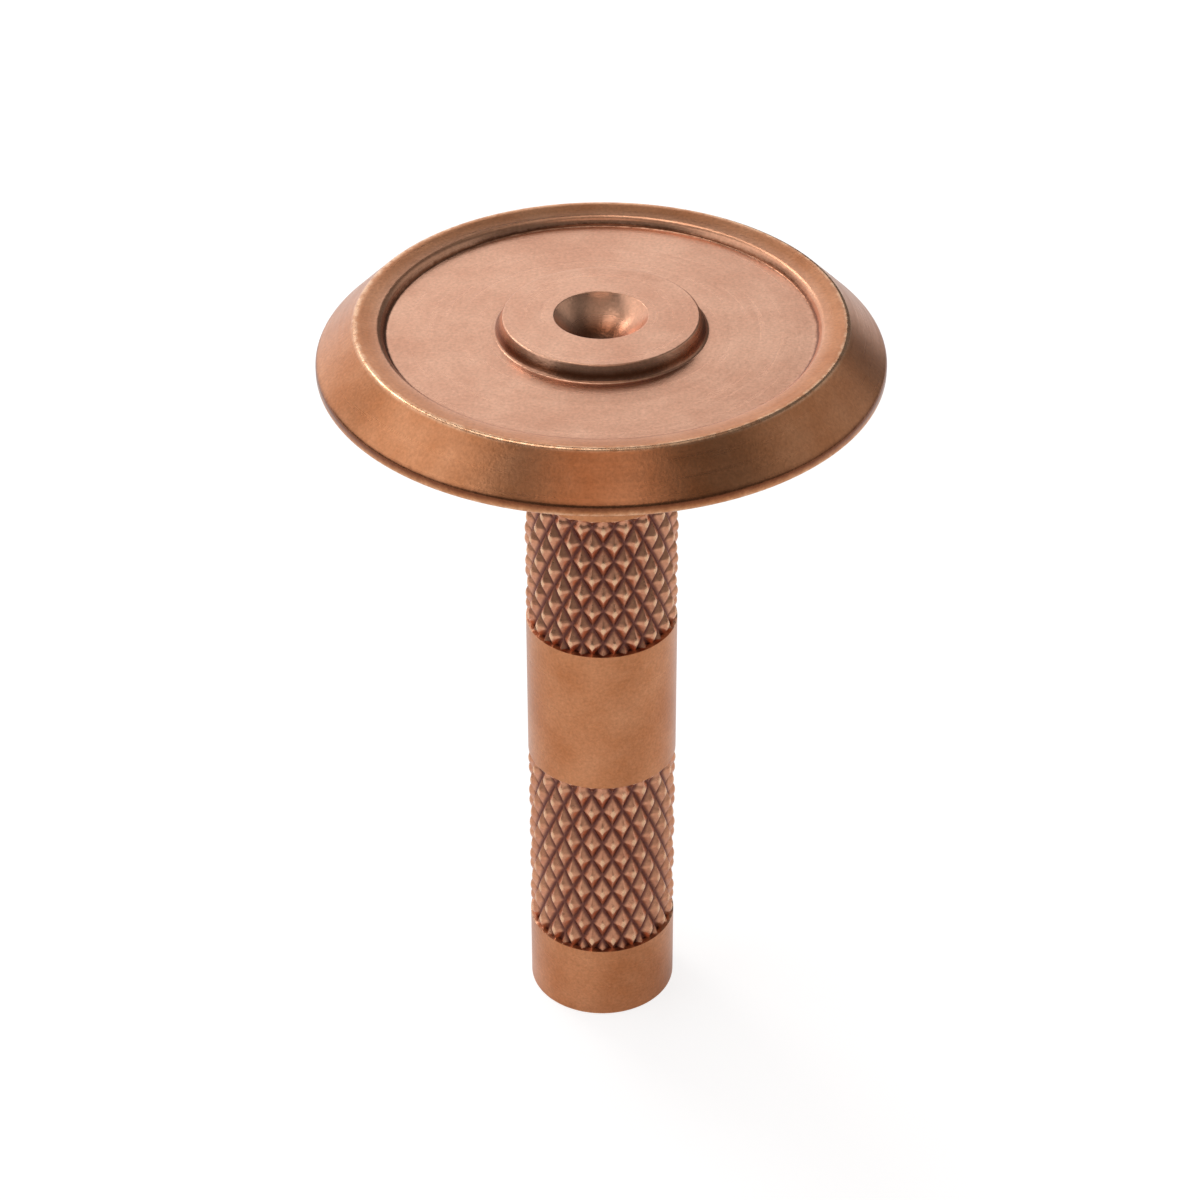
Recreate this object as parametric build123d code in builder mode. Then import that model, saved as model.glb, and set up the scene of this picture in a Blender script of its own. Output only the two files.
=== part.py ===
# Knurled marker bolt, turned from one bar of red bronze.
# It stands on the flat end of its shank, with the head at the top.
# The origin is the centre of that flat end, and +Z runs up the axis. All sizes are in millimetres.
import math
import os

from build123d import *

# Shank, measured up from its flat end
shank_diameter = 14.0
plain_end_length = 8.0
lower_band_length = 20.0
plain_middle_length = 15.0
upper_band_length = 14.7
neck_length = 12.3
end_edge_break = 0.15
neck_fillet = 0.6

# Head: an upright edge, a bevel up to a narrow crest, and a dished face inside the crest
head_diameter = 50.0
head_edge_height = 0.95
bevel_width = 3.45
bevel_angle = 45.0
crest_width = 0.45
dish_slope_width = 1.85
dish_step_width = 0.4
dish_step = 0.75
dish_depth = 1.1
lower_edge_break = 0.15
bevel_foot_rounding = 0.5
crest_rounding = 0.45
dish_lip_break = 0.4
dish_foot_break = 0.3

# Boss in the middle of the dish, with a conical centre dimple in its top
boss_top_diameter = 17.2
boss_height = 1.4
boss_flare = 0.65
boss_foot_fillet = 0.4
boss_edge_break = 0.1
dimple_diameter = 8.3
dimple_angle = 90.0
dimple_edge_break = 0.1

# Diamond knurl: two crossing sets of V grooves leave staggered rows of points between them.
# The points stand a little proud of the plain shank, and their tips are turned flat.
# The outer rows stand in from the ends of their band by a share of the distance between rows.
points_round = 21
knurl_helix_angle = 30.0
groove_angle = 100.0
tip_flat = 0.2
knurl_raise = 0.05
end_row_share = 0.625
lower_band_turn = 4.5
upper_band_turn = 5.6

# Sizes that follow from the shank's and the head's
shank_radius = shank_diameter / 2
lower_band_base = plain_end_length
upper_band_base = lower_band_base + lower_band_length + plain_middle_length
underside = upper_band_base + upper_band_length + neck_length
head_radius = head_diameter / 2
bevel_foot = underside + head_edge_height
crest_height = bevel_foot + bevel_width * math.tan(math.radians(bevel_angle))
crest_outer_radius = head_radius - bevel_width
crest_inner_radius = crest_outer_radius - crest_width
dish_lip_radius = crest_inner_radius - dish_slope_width
dish_radius = dish_lip_radius - dish_step_width
dish_floor = crest_height - dish_depth
dish_lip = dish_floor + dish_step
boss_top_radius = boss_top_diameter / 2
boss_foot_radius = boss_top_radius + boss_flare
boss_top = dish_floor + boss_height
dimple_radius = dimple_diameter / 2
dimple_bottom = boss_top - dimple_radius / math.tan(math.radians(dimple_angle / 2))

# Sizes that follow from the knurl's: its pitch round the shank, along it and square across a groove
tip_radius = shank_radius + knurl_raise
pitch_round = 2 * math.pi * tip_radius / points_round
pitch_along = pitch_round / math.tan(math.radians(knurl_helix_angle))
pitch_across = pitch_round * math.cos(math.radians(knurl_helix_angle))
groove_steepness = 1 / math.tan(math.radians(groove_angle / 2))
root_radius = tip_radius - (pitch_across - tip_flat) / 2 * groove_steepness
apex_radius = root_radius + pitch_across / 2 * groove_steepness
half_point = 180 / points_round


def at(radius, angle, height):
    """The place at this distance from the axis, this many degrees round it, at this height."""
    return Vector(radius, 0, height).rotate(Axis.Z, angle)


def facet(*corners):
    """A flat face with these corners."""
    return Face(Wire.make_polygon(corners))


def knurled_band(base, length, turn):
    """A band of points: as many whole rows as the pitch allows, evenly spread and cut square at its ends."""
    rows = int(length / (pitch_along / 2))
    spacing = length / (rows - 1 + 2 * end_row_share)

    # One point: four flanks rise from the corners where the grooves cross, to a tip that is turned flat
    feet = [
        at(root_radius, half_point, 0),
        at(root_radius, 0, spacing),
        at(root_radius, -half_point, 0),
        at(root_radius, 0, -spacing),
    ]
    apex = at(apex_radius, 0, 0)
    tip = [apex + (foot - apex) * (tip_flat / pitch_across) for foot in feet]
    point = [facet(feet[side - 1], feet[side], tip[side], tip[side - 1]) for side in range(4)]
    point += [facet(tip[1], tip[side], tip[3]) for side in (0, 2)]

    # Each row is turned by half a point from the last, and one row more at each end is cut in two
    skin = []
    for row in range(-1, rows + 1):
        height = base + (row + end_row_share) * spacing
        for place in range(points_round):
            angle = turn + (2 * place + row % 2) * half_point
            skin += [face.moved(Location((0, 0, height), (0, 0, angle))) for face in point]

    # The skin is closed at both ends past the band, along the zigzag of its last feet
    for row, outward in ((-1, -spacing), (rows, spacing)):
        height = base + (row + end_row_share) * spacing
        first = turn + (row % 2) * half_point
        rim = [
            at(root_radius, first + side * half_point, height + (0 if side % 2 else outward))
            for side in range(2 * points_round)
        ]
        hub = at(0, 0, height + outward)
        skin += [facet(hub, rim[side - 1], rim[side]) for side in range(len(rim))]

    with BuildPart() as band:
        add(Solid(Shell(skin)))
        with BuildSketch(Plane.XY.offset(base)):
            Circle(apex_radius)
        extrude(amount=length, mode=Mode.INTERSECT)
    return band.part


def corner(section, radius, height):
    """The corner of the half section at this radius and height."""
    return section.vertices().sort_by_distance((radius, height))[0]


lower_band = knurled_band(lower_band_base, lower_band_length, lower_band_turn)
upper_band = knurled_band(upper_band_base, upper_band_length, upper_band_turn)

with BuildPart() as knurled_bolt:
    # Half section, from the flat end up the outside, over the head and in to the axis
    with BuildSketch(Plane.XZ) as section:
        with BuildLine():
            Polyline(
                (0, 0),
                (shank_radius, 0),
                (shank_radius, underside),
                (head_radius, underside),
                (head_radius, bevel_foot),
                (crest_outer_radius, crest_height),
                (crest_inner_radius, crest_height),
                (dish_lip_radius, dish_lip),
                (dish_radius, dish_floor),
                (boss_foot_radius, dish_floor),
                (boss_top_radius, boss_top),
                (dimple_radius, boss_top),
                (0, dimple_bottom),
                close=True,
            )
        make_face()

        # Turned corners, each broken or rounded as far as its wall allows
        chamfer(corner(section, shank_radius, 0), end_edge_break)
        fillet(corner(section, shank_radius, underside), neck_fillet)
        chamfer(corner(section, head_radius, underside), lower_edge_break)
        fillet(corner(section, head_radius, bevel_foot), bevel_foot_rounding)
        fillet(corner(section, crest_outer_radius, crest_height), crest_rounding)
        chamfer(corner(section, dish_lip_radius, dish_lip), min(dish_lip_break, 0.55 * dish_step))
        chamfer(corner(section, dish_radius, dish_floor), min(dish_foot_break, 0.4 * dish_step))
        fillet(corner(section, boss_foot_radius, dish_floor), min(boss_foot_fillet, 0.5 * boss_height))
        chamfer(corner(section, boss_top_radius, boss_top), boss_edge_break)
        chamfer(corner(section, dimple_radius, boss_top), dimple_edge_break)
    revolve(axis=Axis.Z)

    # The plain bar gives way to the knurled bands
    for base, length in ((lower_band_base, lower_band_length), (upper_band_base, upper_band_length)):
        with BuildSketch(Plane.XY.offset(base)):
            Circle(shank_radius)
        extrude(amount=length, mode=Mode.SUBTRACT)
    add([lower_band, upper_band])

knurled_bolt.part.label = "knurled_bolt"
os.makedirs("parts", exist_ok=True)
export_step(knurled_bolt.part, "parts/knurled_bolt.step")
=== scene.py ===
import math

import bmesh
import bpy
from mathutils import Matrix, Vector, noise


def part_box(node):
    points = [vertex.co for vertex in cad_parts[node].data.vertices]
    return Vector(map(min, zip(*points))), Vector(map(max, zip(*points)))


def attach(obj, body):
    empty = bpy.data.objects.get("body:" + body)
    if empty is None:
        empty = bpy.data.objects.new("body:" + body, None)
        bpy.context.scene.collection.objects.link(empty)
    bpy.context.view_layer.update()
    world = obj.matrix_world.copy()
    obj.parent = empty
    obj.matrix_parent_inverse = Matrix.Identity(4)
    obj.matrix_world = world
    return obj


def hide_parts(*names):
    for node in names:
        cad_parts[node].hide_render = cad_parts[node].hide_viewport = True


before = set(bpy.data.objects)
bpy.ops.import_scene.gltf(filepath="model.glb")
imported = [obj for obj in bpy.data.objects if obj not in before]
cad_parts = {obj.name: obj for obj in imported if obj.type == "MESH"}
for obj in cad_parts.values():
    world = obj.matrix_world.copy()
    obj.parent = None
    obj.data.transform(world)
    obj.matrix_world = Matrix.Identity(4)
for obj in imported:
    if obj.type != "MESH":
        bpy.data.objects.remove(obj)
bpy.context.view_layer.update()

mm = 0.001  # sizes are in millimetres unless a note says otherwise, and Blender's unit is the metre
nodeName = "knurled_bolt"
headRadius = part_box(nodeName)[1].x / mm
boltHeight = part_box(nodeName)[1].z / mm

print("Frame loaded: head radius", round(headRadius, 2), "mm, height", round(boltHeight, 2), "mm")


# One turned bolt. It stands on the flat end of its shank, and heights run up from there.
bolt = {
    "roundSegments": 336,      # a whole number of steps to each knurl point
    "startTurn": 4.5,          # degrees, where the first knurl point stands
    "roundingSteps": 5,
    "flatMargin": 0.06,        # keeps a flat face flat right up to its rounded edge
    "shankRadius": 7.0,
    "endRounding": 0.2,
    "neckFillet": 0.6,
    "underside": 70.0,
    "edgeHeight": 0.95,
    "lowerEdgeRounding": 0.22,
    "bevelFootRounding": 0.5,
    "bevelWidth": 3.45,        # the bevel rises by its width, at 45 degrees
    "crestWidth": 0.45,
    "crestOuterRounding": 0.45,
    "crestInnerRounding": 1.9,
    "dishSlopeWidth": 1.85,
    "dishStepWidth": 0.4,
    "dishStep": 0.75,
    "dishDepth": 1.1,
    "dishLipRounding": 0.6,
    "dishFootFillet": 0.35,
    "bossHeight": 1.4,
    "bossTopRadius": 8.6,
    "bossFlare": 0.65,
    "bossFootFillet": 0.3,
    "bossRounding": 0.18,
    "dimpleRadius": 4.15,
    "dimpleDepth": 4.15,
    "dimpleRounding": 0.12,
    "joinDistance": 0.002,     # the bands' ends join the turned stretches within this
    "sharpAngle": 50.0,        # degrees; edges that turn by more are left sharp
}

# Diamond knurl: two crossing sets of V grooves, with staggered points between them
knurl = {
    "pointsRound": 21,
    "stepsPerFlank": 8,        # each flank of a point is divided this finely; even
    "tipRadius": 7.05,
    "rootRadius": 6.37,
    "crestWear": 0.3,          # share of the half pitch that is worn round at a groove's crest
    "arrisWear": 0.2,          # how far the arris between two flanks is worn round
    "rootRounding": 0.12,      # share of the half pitch that lies round in the groove
    "endRowShare": 0.625,      # the outer rows stand this share of the row spacing in from the band's ends
    "runOuts": (0.06, 0.7),    # the grooves end square at a band's base, and fade out over more at its top
    "runOutCuts": (1, 3),      # rings of edges across each run-out
    "uneven": 0.05,            # the points differ in height by about this much
    "unevenSize": 1.4,
    "joinDistance": 0.001,
    "bands": [
        {"name": "lower", "base": 8.0, "top": 28.0, "rows": 10, "steps": 0},
        {"name": "upper", "base": 43.0, "top": 57.7, "rows": 8, "steps": 1},
    ],
}


# A wire in the XZ plane along corners of radius, height and rounding
def outline(bm, corners):
    places = [Vector((radius, 0, height)) for radius, height, rounding in corners]
    offsets = [0.0] * len(corners)
    for i in range(1, len(corners) - 1):
        turn = (places[i] - places[i - 1]).angle(places[i + 1] - places[i])
        offsets[i] = corners[i][2] * math.tan(turn / 2)
    verts = [bm.verts.new(places[0])]
    rounded = []
    for i in range(1, len(corners)):
        run = places[i] - places[i - 1]
        ends = []
        if offsets[i - 1]:
            ends.append(offsets[i - 1] + bolt["flatMargin"])
        if offsets[i]:
            ends.append(run.length - offsets[i] - bolt["flatMargin"])
        if ends != sorted(ends):
            ends = [sum(ends) / 2]
        for distance in ends:
            verts.append(bm.verts.new(places[i - 1] + run.normalized() * distance))
        verts.append(bm.verts.new(places[i]))
        if offsets[i]:
            rounded.append((verts[-1], offsets[i]))
    for a, b in zip(verts, verts[1:]):
        bm.edges.new((a, b))
    for vert, offset in rounded:
        bmesh.ops.bevel(bm, geom=[vert], offset=offset, offset_type="OFFSET", affect="VERTICES",
                        segments=bolt["roundingSteps"], profile=0.5, material=-1)


# The plain turned stretches: end, middle, and neck with the whole head
def turnedStretches(bm):
    b = bolt
    shank = b["shankRadius"]
    margin = b["flatMargin"]
    lower, upper = knurl["bands"]
    bevelFoot = b["underside"] + b["edgeHeight"]
    crest = bevelFoot + b["bevelWidth"]
    crestOuter = headRadius - b["bevelWidth"]
    crestInner = crestOuter - b["crestWidth"]
    dishLip = crestInner - b["dishSlopeWidth"]
    dishRadius = dishLip - b["dishStepWidth"]
    dishFloor = crest - b["dishDepth"]
    bossTop = dishFloor + b["bossHeight"]
    outline(bm, [
        (0, 0, 0),
        (shank, 0, b["endRounding"]),
        (shank, lower["base"] - margin, 0),
        (shank, lower["base"], 0),
    ])
    outline(bm, [
        (shank, lower["top"], 0),
        (shank, lower["top"] + margin, 0),
        (shank, upper["base"] - margin, 0),
        (shank, upper["base"], 0),
    ])
    outline(bm, [
        (shank, upper["top"], 0),
        (shank, upper["top"] + margin, 0),
        (shank, b["underside"], b["neckFillet"]),
        (headRadius, b["underside"], b["lowerEdgeRounding"]),
        (headRadius, bevelFoot, b["bevelFootRounding"]),
        (crestOuter, crest, b["crestOuterRounding"]),
        (crestInner, crest, b["crestInnerRounding"]),
        (dishLip, dishFloor + b["dishStep"], b["dishLipRounding"]),
        (dishRadius, dishFloor, b["dishFootFillet"]),
        (b["bossTopRadius"] + b["bossFlare"], dishFloor, b["bossFootFillet"]),
        (b["bossTopRadius"], bossTop, b["bossRounding"]),
        (b["dimpleRadius"], bossTop, b["dimpleRounding"]),
        (0, bossTop - b["dimpleDepth"], 0),
    ])
    bmesh.ops.rotate(bm, verts=bm.verts[:], cent=(0, 0, 0),
                     matrix=Matrix.Rotation(math.radians(b["startTurn"]), 3, "Z"))
    bmesh.ops.spin(bm, geom=bm.verts[:] + bm.edges[:], axis=(0, 0, 1), cent=(0, 0, 0), dvec=(0, 0, 0),
                   angle=2 * math.pi, steps=b["roundSegments"], use_merge=True)


# Height of one groove's side by its distance from the crest: 1 at a sharp crest and 0 in a sharp root
def grooveSide(distance):
    wear, bend = knurl["crestWear"], knurl["rootRounding"]
    rise = 1 - distance
    if distance < wear:
        rise = 1 - (distance ** 2 / wear + wear) / 2
    if rise < bend:
        rise = (rise ** 2 / bend + bend) / 2
    return rise


# Height of the skin where the sides of two grooves meet, with the arris between them worn round
def skinHeight(distances):
    low, high = sorted(grooveSide(distance) for distance in distances)
    wear = knurl["arrisWear"] * high
    return low - max(wear - (high - low), 0) ** 2 / (4 * wear)


# One knurled band: a flat lattice of points, cut at the band's ends, then wrapped round the shank
def knurledBand(band):
    k = knurl
    base, top = band["base"], band["top"]
    rowSpacing = (top - base) / (band["rows"] - 1 + 2 * k["endRowShare"])
    bm = bmesh.new()
    bmesh.ops.create_circle(bm, cap_ends=True, segments=4, radius=1)
    bmesh.ops.poke(bm, faces=bm.faces[:])
    bmesh.ops.scale(bm, vec=(0.5, rowSpacing, 1), verts=bm.verts[:])
    corners = bm.verts[:]
    point = corners + bm.edges[:] + bm.faces[:]
    for row in range(-1, band["rows"] + 1):
        height = base + (row + k["endRowShare"]) * rowSpacing
        for place in range(k["pointsRound"]):
            copy = bmesh.ops.duplicate(bm, geom=point)["geom"]
            copied = [part for part in copy if isinstance(part, bmesh.types.BMVert)]
            bmesh.ops.translate(bm, vec=(place + (row % 2) / 2, height, 0), verts=copied)
    bmesh.ops.delete(bm, geom=corners, context="VERTS")
    bmesh.ops.remove_doubles(bm, verts=bm.verts[:], dist=k["joinDistance"])
    bmesh.ops.subdivide_edges(bm, edges=bm.edges[:], cuts=k["stepsPerFlank"] - 1, use_grid_fill=True)
    for end, outward, runOut, cuts in zip((base, top), (-1, 1), k["runOuts"], k["runOutCuts"]):
        for cut in range(cuts + 1):
            height = end - outward * runOut * cut / cuts
            lattice = bm.verts[:] + bm.edges[:] + bm.faces[:]
            bmesh.ops.bisect_plane(bm, geom=lattice, dist=k["joinDistance"], plane_co=(0, height, 0),
                                   plane_no=(0, outward, 0), clear_outer=cut == 0)

    highest, lowest = skinHeight((0, 0)), skinHeight((1, 1))
    depth = k["tipRadius"] - k["rootRadius"]
    shank = bolt["shankRadius"]
    turn = bolt["startTurn"] + band["steps"] * 360 / bolt["roundSegments"]
    for vert in bm.verts:
        place, height, flat = vert.co
        across = ((height - base) / rowSpacing - k["endRowShare"]) / 2
        sides = [abs(way - round(way)) * 2 for way in (place + across, place - across)]
        share = (skinHeight(sides) - lowest) / (highest - lowest)
        angle = math.radians(turn + place * 360 / k["pointsRound"])
        spot = Vector((k["tipRadius"] * math.cos(angle), k["tipRadius"] * math.sin(angle), height))
        lost = (noise.noise(spot / k["unevenSize"]) + 1) / 2 * k["uneven"]
        radius = k["rootRadius"] + (depth - lost) * share
        for inside, runOut in zip((height - base, top - height), k["runOuts"]):
            cut = min(max(inside, 0) / runOut, 1)
            radius = shank + (radius - shank) * cut * (2 - cut)
        vert.co = (radius * math.cos(angle), radius * math.sin(angle), height)
    bmesh.ops.remove_doubles(bm, verts=bm.verts[:], dist=k["joinDistance"])
    mesh = bpy.data.meshes.new(band["name"] + "Band")
    bm.to_mesh(mesh)
    bm.free()
    return mesh


def turnedBolt():
    bm = bmesh.new()
    turnedStretches(bm)
    for band in knurl["bands"]:
        mesh = knurledBand(band)
        bm.from_mesh(mesh)
        bpy.data.meshes.remove(mesh)
        print("Knurled band:", band["name"])
    bmesh.ops.remove_doubles(bm, verts=bm.verts[:], dist=bolt["joinDistance"])
    bmesh.ops.recalc_face_normals(bm, faces=bm.faces[:])
    bmesh.ops.scale(bm, vec=(mm, mm, mm), verts=bm.verts[:])
    mesh = bpy.data.meshes.new("turnedBolt")
    bm.to_mesh(mesh)
    print("Bolt:", len(bm.faces), "faces, open edges", sum(not edge.is_manifold for edge in bm.edges),
          "volume", round(bm.calc_volume() / mm ** 3), "mm3")
    bm.free()
    mesh.shade_smooth()
    mesh.set_sharp_from_angle(angle=math.radians(bolt["sharpAngle"]))
    body = bpy.data.objects.new("turnedBolt", mesh)
    bpy.context.scene.collection.objects.link(body)
    return body


# Materials
def linear(code):
    channels = [int(code[i:i + 2], 16) / 255 for i in (1, 3, 5)]
    return (*[c / 12.92 if c <= 0.04045 else ((c + 0.055) / 1.055) ** 2.4 for c in channels], 1)


# A setting is named as the node has it, or else it is one of the node's sockets, by name or number
def addNode(tree, kind, settings=None, links=None):
    node = tree.nodes.new(kind)
    for name, value in (settings or {}).items():
        if isinstance(name, str) and hasattr(node, name):
            setattr(node, name, value)
        else:
            node.inputs[name].default_value = value
    for name, source in (links or {}).items():
        tree.links.new(source, node.inputs[name])
    return node


# A Mix node's sockets: its two numbers and their result, then its two colours and theirs
firstNumber, secondNumber, mixedNumber = 2, 3, 0
firstColour, secondColour, mixedColour = 6, 7, 2

# Red bronze as it comes off the lathe. The eye gets a pink copper metal with a satin shine and fine
# turning marks, worn pale along the edges. Painted light lies over it: painted shade darkens the corners,
# the dimple, the head's lower edge, the neck under the head and the knurl's grooves, and the knurl's tips
# are pale as wear and as a painted highlight. The faced dish is paler and pinker than the turned metal,
# partly as its finish and partly as a painted reflection, and the knurled bands are painted lighter as
# painted light.
redBronze = {
    "turned": "#CC8E66",
    "turnedDeep": "#BC7A50",
    # faced: paler and pinker than turned, partly its finish and partly a painted reflection
    "faced": "#E2AE90",
    "facedDeep": "#D49C7E",
    # knurled: painted lighter than turned, as painted light on the knurled bands
    "knurled": "#DEA280",
    "knurledDeep": "#CB8C6E",
    # painted shade in the knurl's grooves
    "groove": "#7E5148",
    # painted shade in the corners, the dimple and under the head
    "paintedShade": "#7A4830",
    # worn metal on the edges; on the knurl's tips it is also a painted highlight
    "wornAndTipHighlight": "#EBBD98",

    # Noises. The real grain and turning marks are finer, but would be lost between the picture's pixels.
    "patches": {"size": 6.0, "detail": 5, "roughness": 0.6},
    "grain": {"size": 0.28, "detail": 2, "roughness": 0.6},
    "wander": {"size": 5 / 6, "detail": 4, "roughness": 0.65},
    "marks": {"size": 0.30, "detail": 3, "roughness": 0.55},
    "markDrift": 0.03,         # how much the marks change round the bolt, as a share of how they do across
    "breakUp": 0.35,           # how far the edge of a zone wanders

    # Zones: the first three by radius, and the rings by radius, height and reach
    "facedZone": {"From Min": 20.4, "From Max": 18.6},
    "grooveZone": {"From Min": 6.66, "From Max": 6.37, "interpolation_type": "SMOOTHSTEP"},
    # the knurl's tips, painted pale as wear and as a painted highlight
    "tipHighlightZone": {"From Min": 6.90, "From Max": 7.00},
    "wornRings": [(21.5, 74.38, 0.45), (25.0, 70.0, 0.45), (7.0, 0.0, 0.3)],
    # rings of painted shade: the dish's step, the boss's foot, the dimple, the head's lower edge and the neck
    "paintedShadeRings": [
        (18.9, 73.40, 0.35),
        (9.0, 73.8, 0.9),
        (1.8, 72.0, 2.7),
        (25.05, 70.8, 0.6),
        (7.2, 69.8, 1.5),
    ],

    # What each noise does: it breaks off the wear, mottles the metal, speckles it and varies its shine
    "wornBreaks": {"From Min": 0.42, "From Max": 0.56, "To Min": 0.35},
    "mottle": {"From Min": 0.35, "From Max": 0.65},
    "speckle": {"From Min": 0.2, "From Max": 0.8, "To Min": 0.82, "To Max": 1.15},
    "roughness": {"From Min": 0.3, "From Max": 0.7, "To Min": 0.265, "To Max": 0.335},
    "grooveRoughness": 0.5,
    "paintedShadeRoughness": 0.26,
    "wornAndTipHighlightRoughness": 0.24,
    "markBump": {"strength": 0.35, "height": 0.008},
    "grainBump": {"strength": 0.5, "height": 0.03},
}


# How near a place is to one of some rings round the axis: 1 on the ring, falling to 0 at its reach
def nearRings(tree, profile, rings):
    nearest = None
    for radius, height, reach in rings:
        away = addNode(tree, "ShaderNodeVectorMath", {"operation": "DISTANCE", 1: (radius, height, 0)},
                       {0: profile}).outputs["Value"]
        fall = {"From Min": reach, "From Max": 0, "interpolation_type": "SMOOTHSTEP"}
        near = addNode(tree, "ShaderNodeMapRange", fall, {"Value": away}).outputs[0]
        if nearest:
            near = addNode(tree, "ShaderNodeMath", {"operation": "MAXIMUM"}, {0: nearest, 1: near}).outputs[0]
        nearest = near
    return nearest


def redBronzeMaterial():
    look = redBronze
    material = bpy.data.materials.new("turnedRedBronze")
    material.use_nodes = True
    tree = material.node_tree
    shader = tree.nodes["Principled BSDF"]

    # Place on the bolt in millimetres, and its radius and height, which make its place on the profile
    coordinates = addNode(tree, "ShaderNodeTexCoord").outputs["Object"]
    place = addNode(tree, "ShaderNodeVectorMath", {"operation": "SCALE", "Scale": 1 / mm},
                    {0: coordinates}).outputs["Vector"]
    level = addNode(tree, "ShaderNodeVectorMath", {"operation": "MULTIPLY", 1: (1, 1, 0)},
                    {0: place}).outputs["Vector"]
    radius = addNode(tree, "ShaderNodeVectorMath", {"operation": "LENGTH"}, {0: level}).outputs["Value"]
    height = addNode(tree, "ShaderNodeSeparateXYZ", None, {0: place}).outputs["Z"]
    profile = addNode(tree, "ShaderNodeCombineXYZ", None, {"X": radius, "Y": height}).outputs["Vector"]

    # Turning marks run round the axis, so their noise follows the profile and only drifts along a mark
    drift = addNode(tree, "ShaderNodeVectorMath", {"operation": "SCALE", "Scale": look["markDrift"]},
                    {0: place}).outputs["Vector"]
    ring = addNode(tree, "ShaderNodeVectorMath", {"operation": "ADD"}, {0: drift, 1: profile}).outputs["Vector"]
    noises = {}
    for name, where in (("patches", place), ("grain", place), ("wander", place), ("marks", ring)):
        pattern = look[name]
        noises[name] = addNode(tree, "ShaderNodeTexNoise", {
            "Scale": 1 / pattern["size"],
            "Detail": pattern["detail"],
            "Roughness": pattern["roughness"],
        }, {"Vector": where}).outputs
    patches, grain, wander, marks = (outputs[0] for outputs in noises.values())
    offset = addNode(tree, "ShaderNodeVectorMath", {"operation": "SUBTRACT", 1: (0.5, 0.5, 0.5)},
                     {0: noises["wander"]["Color"]}).outputs["Vector"]
    strayed = addNode(tree, "ShaderNodeVectorMath", {"operation": "MULTIPLY_ADD", 1: (look["breakUp"],) * 3},
                      {0: offset, 2: profile}).outputs["Vector"]

    # The faced dish, inside the crest and above the shank
    inner = addNode(tree, "ShaderNodeMapRange", look["facedZone"], {"Value": radius}).outputs[0]
    above = addNode(tree, "ShaderNodeMath", {"operation": "GREATER_THAN", 1: bolt["underside"]},
                    {0: height}).outputs[0]
    faced = addNode(tree, "ShaderNodeMath", {"operation": "MULTIPLY"}, {0: inner, 1: above}).outputs[0]

    # The knurled bands, with their grooves, darkened as painted shade, and the tips of their points,
    # pale as wear and as a painted highlight
    knurled = None
    for band in knurl["bands"]:
        middle, halfLength = (band["base"] + band["top"]) / 2, (band["top"] - band["base"]) / 2
        within = addNode(tree, "ShaderNodeMath", {"operation": "COMPARE", 1: middle, 2: halfLength},
                         {0: height}).outputs[0]
        if knurled:
            within = addNode(tree, "ShaderNodeMath", {"operation": "MAXIMUM"},
                             {0: knurled, 1: within}).outputs[0]
        knurled = within
    deep = addNode(tree, "ShaderNodeMapRange", look["grooveZone"], {"Value": radius}).outputs[0]
    groove = addNode(tree, "ShaderNodeMath", {"operation": "MULTIPLY"}, {0: knurled, 1: deep}).outputs[0]
    proud = addNode(tree, "ShaderNodeMapRange", look["tipHighlightZone"], {"Value": radius}).outputs[0]
    tipHighlight = addNode(tree, "ShaderNodeMath", {"operation": "MULTIPLY"}, {0: knurled, 1: proud}).outputs[0]

    # Worn edges, which break off here and there, the knurl's tips, pale as wear and as a painted highlight,
    # and painted shade in the corners
    edges = nearRings(tree, strayed, look["wornRings"])
    breaks = addNode(tree, "ShaderNodeMapRange", look["wornBreaks"], {"Value": wander}).outputs[0]
    edges = addNode(tree, "ShaderNodeMath", {"operation": "MULTIPLY"}, {0: edges, 1: breaks}).outputs[0]
    wornAndTipHighlight = addNode(tree, "ShaderNodeMath", {"operation": "MAXIMUM"}, {0: edges, 1: tipHighlight}).outputs[0]
    # painted shade in the corners, the dimple and under the head
    corners = nearRings(tree, strayed, look["paintedShadeRings"])

    # Colour: patchy metal, then each zone over it, with the faced and knurled zones partly painted light,
    # then painted shade in the grooves and corners, pale wear and a painted highlight on the edges and tips,
    # then the speckle of the grain
    mottle = addNode(tree, "ShaderNodeMapRange", look["mottle"], {"Value": patches}).outputs[0]
    colour = None
    for finish, zone in (("turned", None), ("faced", faced), ("knurled", knurled)):
        pair = {firstColour: linear(look[finish]), secondColour: linear(look[finish + "Deep"])}
        metal = addNode(tree, "ShaderNodeMix", {"data_type": "RGBA", **pair}, {0: mottle}).outputs[mixedColour]
        if zone:
            metal = addNode(tree, "ShaderNodeMix", {"data_type": "RGBA"},
                            {0: zone, firstColour: colour, secondColour: metal}).outputs[mixedColour]
        colour = metal
    for zone, finish in ((groove, "groove"), (corners, "paintedShade"), (wornAndTipHighlight, "wornAndTipHighlight")):
        colour = addNode(tree, "ShaderNodeMix", {"data_type": "RGBA", secondColour: linear(look[finish])},
                         {0: zone, firstColour: colour}).outputs[mixedColour]
    speckle = addNode(tree, "ShaderNodeMapRange", look["speckle"], {"Value": grain}).outputs[0]
    colour = addNode(tree, "ShaderNodeMix", {"data_type": "RGBA", "blend_type": "MULTIPLY", 0: 1},
                     {firstColour: colour, secondColour: speckle}).outputs[mixedColour]
    tree.links.new(colour, shader.inputs["Base Color"])
    shader.inputs["Metallic"].default_value = 1

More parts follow.
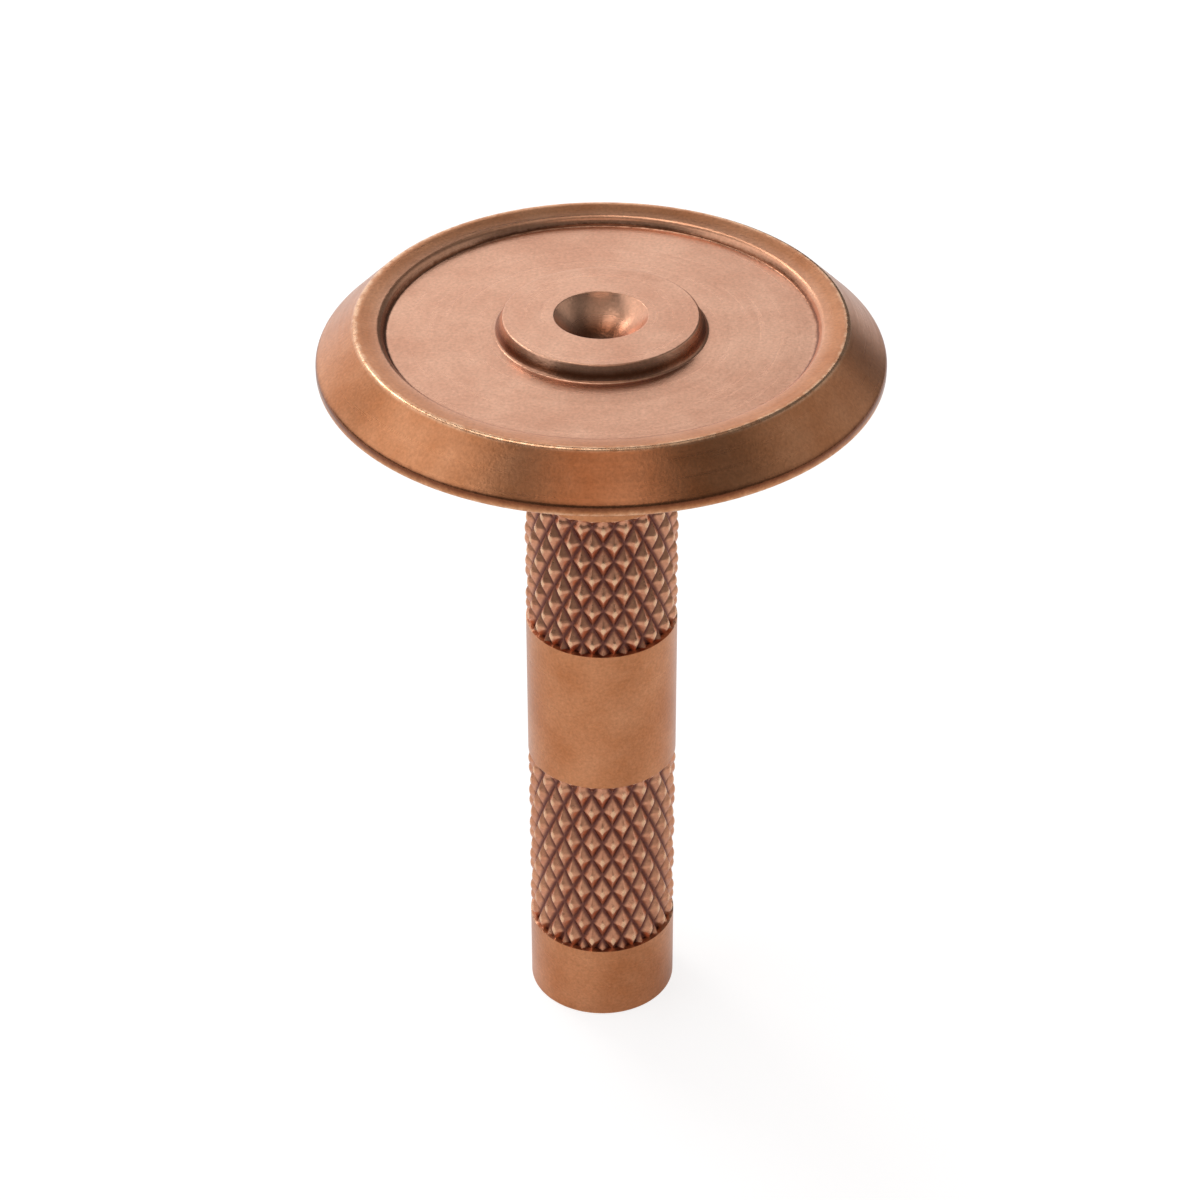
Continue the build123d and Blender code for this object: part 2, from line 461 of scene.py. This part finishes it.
    # Shine: dull in the grooves, and a little glossier on the worn edges and tips and in the rings of painted
    # shade
    shine = addNode(tree, "ShaderNodeMapRange", look["roughness"], {"Value": marks}).outputs[0]
    for zone, finish in ((groove, "groove"), (corners, "paintedShade"), (wornAndTipHighlight, "wornAndTipHighlight")):
        settings = {"data_type": "FLOAT", secondNumber: look[finish + "Roughness"]}
        shine = addNode(tree, "ShaderNodeMix", settings, {0: zone, firstNumber: shine}).outputs[mixedNumber]
    tree.links.new(shine, shader.inputs["Roughness"])

    # Bump: turning marks, with a fine grain over them
    normal = None
    for name, pattern in (("markBump", marks), ("grainBump", grain)):
        settings = {"Strength": look[name]["strength"], "Distance": look[name]["height"] * mm}
        links = {"Height": pattern}
        if normal:
            links["Normal"] = normal
        normal = addNode(tree, "ShaderNodeBump", settings, links).outputs["Normal"]
    tree.links.new(normal, shader.inputs["Normal"])
    print("Material:", material.name)
    return material


body = turnedBolt()
body.data.materials.append(redBronzeMaterial())
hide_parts(nodeName)
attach(body, "root")

# Floor and light, in metres. A lamp's radiance is how bright its face looks, with 1 for white.
studio = {
    "floorSize": 4.0,
    "floorColour": "#EDEDED",
    "floorShown": 2.2,         # seen directly, the floor is this bright, so that it comes out white
    "floorGlow": 0.8,          # and this share of it glows white, so that its shadows are light
    "floorMirrored": 0.36,     # share of both that metal and glass show
    "worldColour": "#FFFFFF",
    "worldStrength": 0.15,
    "aim": (0.0, 0.0, 0.05),   # the lamps are aimed at the upper part of the shank
    "softboxes": {
        "back": {"place": (-0.37, 0.72, 0.34), "size": (1.15, 0.82), "radiance": 1.04, "colour": "#FAFBFF"},
        "left": {"place": (-0.80, -0.10, 0.60), "size": (1.0, 0.7), "radiance": 1.1, "colour": "#FAFBFF"},
        "key": {"place": (-0.42, 0.50, 0.68), "size": (0.22, 0.22), "radiance": 5.6, "colour": "#FFFFFF"},
        "crest": {"place": (-0.22, 0.25, 1.00), "size": (0.4, 0.3), "radiance": 2.5, "colour": "#FFFFFF"},
        "top": {"place": (0.00, 0.15, 1.20), "size": (0.9, 0.7), "radiance": 0.4, "colour": "#FFF8F2"},
        "front": {"place": (0.00, -0.50, 0.75), "size": (0.5, 0.4), "radiance": 0.75, "colour": "#FFE4D4"},
        "right": {"place": (0.80, 0.15, 0.45), "size": (1.0, 0.6), "radiance": 0.33, "colour": "#FFFFFF"},
    },
}


def stageFloor():
    bm = bmesh.new()
    bmesh.ops.create_grid(bm, x_segments=1, y_segments=1, size=studio["floorSize"] / 2)
    mesh = bpy.data.meshes.new("floor")
    bm.to_mesh(mesh)
    bm.free()
    floor = bpy.data.objects.new("floor", mesh)
    bpy.context.scene.collection.objects.link(floor)

    # A pale matt floor, which looks white to the camera and pale in metal and glass
    material = bpy.data.materials.new("paleMattFloor")
    material.use_nodes = True
    tree = material.node_tree
    tree.nodes.remove(tree.nodes["Principled BSDF"])
    rays = addNode(tree, "ShaderNodeLightPath").outputs
    mirrored = addNode(tree, "ShaderNodeMath", {"operation": "MAXIMUM"},
                       {0: rays["Is Glossy Ray"], 1: rays["Is Transmission Ray"]}).outputs[0]
    seen = addNode(tree, "ShaderNodeMath", {"operation": "MULTIPLY_ADD", 1: studio["floorMirrored"]},
                   {0: mirrored, 2: rays["Is Camera Ray"]}).outputs[0]
    pair = {firstColour: linear(studio["floorColour"]), secondColour: (*[studio["floorShown"]] * 3, 1)}
    colour = addNode(tree, "ShaderNodeMix", {"data_type": "RGBA", **pair}, {0: seen}).outputs[mixedColour]
    matt = addNode(tree, "ShaderNodeBsdfDiffuse", None, {"Color": colour}).outputs[0]
    glow = addNode(tree, "ShaderNodeEmission", {"Strength": 1}).outputs[0]
    share = addNode(tree, "ShaderNodeMath", {"operation": "MULTIPLY", 1: studio["floorGlow"]},
                    {0: seen}).outputs[0]
    surface = addNode(tree, "ShaderNodeMixShader", None, {0: share, 1: matt, 2: glow}).outputs[0]
    tree.links.new(surface, tree.nodes["Material Output"].inputs["Surface"])
    mesh.materials.append(material)


def softbox(name, place, size, radiance, colour):
    lamp = bpy.data.lights.new(name, "AREA")
    lamp.shape = "RECTANGLE"
    lamp.size, lamp.size_y = size
    lamp.energy = radiance * math.pi * size[0] * size[1]
    lamp.color = linear(colour)[:3]
    box = bpy.data.objects.new(name, lamp)
    bpy.context.scene.collection.objects.link(box)
    box.location = place
    box.rotation_euler = (Vector(studio["aim"]) - Vector(place)).to_track_quat("-Z", "Y").to_euler()


stageFloor()
for side, lamp in studio["softboxes"].items():
    softbox(side + "Softbox", **lamp)

world = bpy.data.worlds.new("studio")
bpy.context.scene.world = world
world.use_nodes = True
background = world.node_tree.nodes["Background"]
background.inputs["Color"].default_value = linear(studio["worldColour"])
background.inputs["Strength"].default_value = studio["worldStrength"]
print("Studio: floor and", len(studio["softboxes"]), "softboxes")

# The camera looks down at the bolt from the front, as the photograph does
view = {
    "place": (0.0, -250.13, 217.3),
    "pitch": 34.63,            # degrees, as are the yaw and roll
    "yaw": -0.035,
    "roll": -0.126,
    "imageWidth": 1200,        # pixels
    "focalPixels": 3298.1,
    "sensor": 36.0,
    "clipStart": 10.0,
}


def photoCamera():
    pitch, yaw, roll = (math.radians(view[name]) for name in ("pitch", "yaw", "roll"))
    data = bpy.data.cameras.new("photoCamera")
    data.sensor_width = view["sensor"]
    data.lens = view["focalPixels"] / view["imageWidth"] * view["sensor"]
    data.clip_start = view["clipStart"] * mm
    camera = bpy.data.objects.new("photoCamera", data)
    bpy.context.scene.collection.objects.link(camera)
    forward = Vector((math.sin(yaw) * math.cos(pitch), math.cos(yaw) * math.cos(pitch), -math.sin(pitch)))
    level = Vector((math.cos(yaw), -math.sin(yaw), 0))
    upright = level.cross(forward)
    right = level * math.cos(roll) + upright * math.sin(roll)
    up = upright * math.cos(roll) - level * math.sin(roll)
    turn = Matrix((right, up, -forward)).transposed()
    camera.matrix_world = Matrix.Translation(Vector(view["place"]) * mm) @ turn.to_4x4()
    bpy.context.scene.camera = camera
    print("Camera:", camera.name)


photoCamera()
bpy.context.scene.view_settings.view_transform = "Standard"
